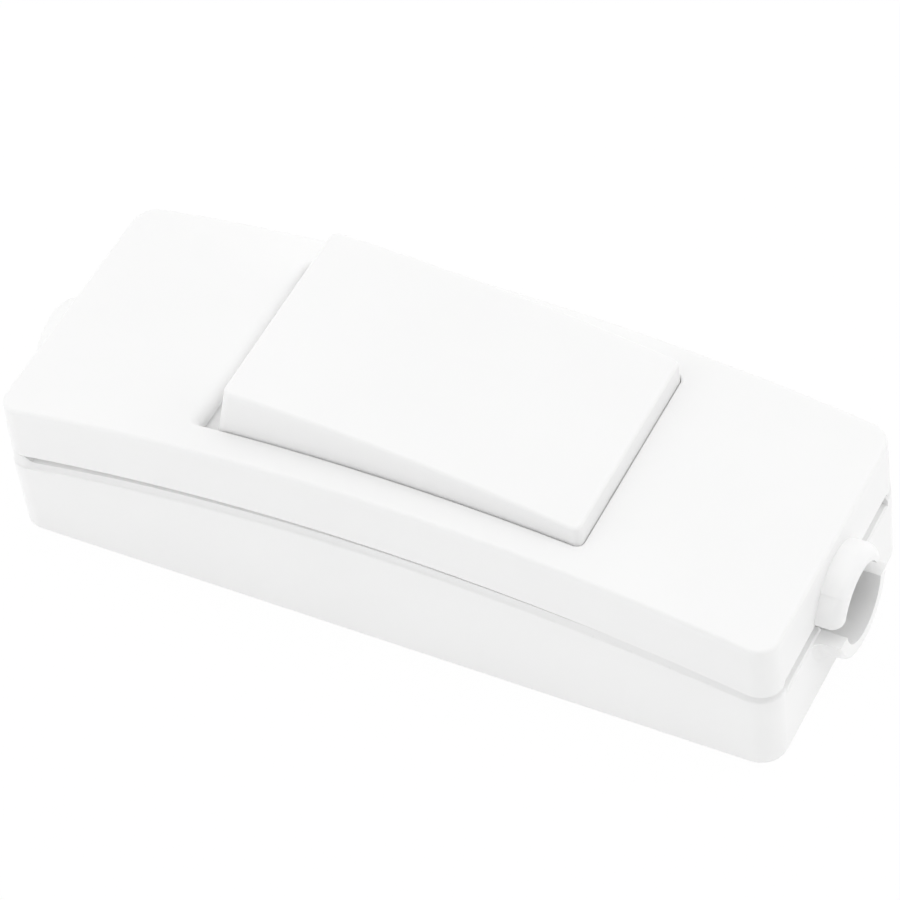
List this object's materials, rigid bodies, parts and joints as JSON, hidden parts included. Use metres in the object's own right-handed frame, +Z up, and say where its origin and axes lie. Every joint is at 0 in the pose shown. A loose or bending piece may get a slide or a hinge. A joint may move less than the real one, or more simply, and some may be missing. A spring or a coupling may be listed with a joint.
{
  "type": "inline cord switch",
  "caption": "Long inline switch for a flexible cord, an arched two-shell case with a wide rocker and a round cord entry at each end.",
  "frame": {"origin": "middle of the base's underside", "axes": "+X along the case towards the rocker's pressed end, +Z up from the underside"},
  "size_m": [0.0904, 0.0314, 0.0265],
  "materials": {
    "white_plastic": "satin moulded thermoplastic",
    "acetal": "natural acetal",
    "brass": "machined",
    "copper": "stamped",
    "silver": "polished contact rivets",
    "spring_steel": "drawn wire",
    "plated_steel": "zinc plated"
  },
  "bodies": {
    "case": {"base_shell": "white_plastic", "cover_shell": "white_plastic", "fixed_contacts": "silver", "earth_terminal": "brass", "live_in_terminal": "brass", "live_out_terminal": "brass", "neutral_in_terminal": "brass", "neutral_out_terminal": "brass", "left_cord_clamp": "plated_steel", "right_cord_clamp": "plated_steel", "terminal_screws": "plated_steel", "earth_screws": "plated_steel", "clamp_screws": "plated_steel", "housing_screws": "plated_steel"},
    "rocker": {"rocker_button": "white_plastic", "click_spring": "spring_steel", "live_bridge_spring": "spring_steel", "neutral_bridge_spring": "spring_steel"},
    "plunger": {"click_plunger": "acetal"},
    "live_contact_bridge": {"live_bridge": "copper", "live_bridge_contacts": "silver"},
    "neutral_contact_bridge": {"neutral_bridge": "copper", "neutral_bridge_contacts": "silver"}
  },
  "joints": [
    {"name": "rocker_tilt", "type": "hinge", "parent": "case", "child": "rocker", "pos_m": [0.0007, 0, 0.0095], "axis": [0, 1, 0], "range_deg": [-13.4, 0]},
    {"name": "click_slide", "type": "slide", "parent": "rocker", "child": "plunger", "axis": [0.1167, 0, 0.9932], "range_m": [0, 0.0005], "stiffness_N_per_m": 100, "springref_m": -0.001, "deforming": ["click_spring"]},
    {"name": "live_bridge_slide", "type": "slide", "parent": "rocker", "child": "live_contact_bridge", "axis": [0.1167, 0, 0.9932], "range_m": [-0.0006, 0], "deforming": ["live_bridge_spring"]},
    {"name": "neutral_bridge_slide", "type": "slide", "parent": "rocker", "child": "neutral_contact_bridge", "axis": [0.1167, 0, 0.9932], "range_m": [-0.0006, 0], "deforming": ["neutral_bridge_spring"]}
  ],
  "couplings": [
    {"joint": "live_bridge_slide", "follows": "rocker_tilt", "m_per_rad": 0.00256},
    {"joint": "neutral_bridge_slide", "follows": "rocker_tilt", "m_per_rad": 0.00256}
  ]
}
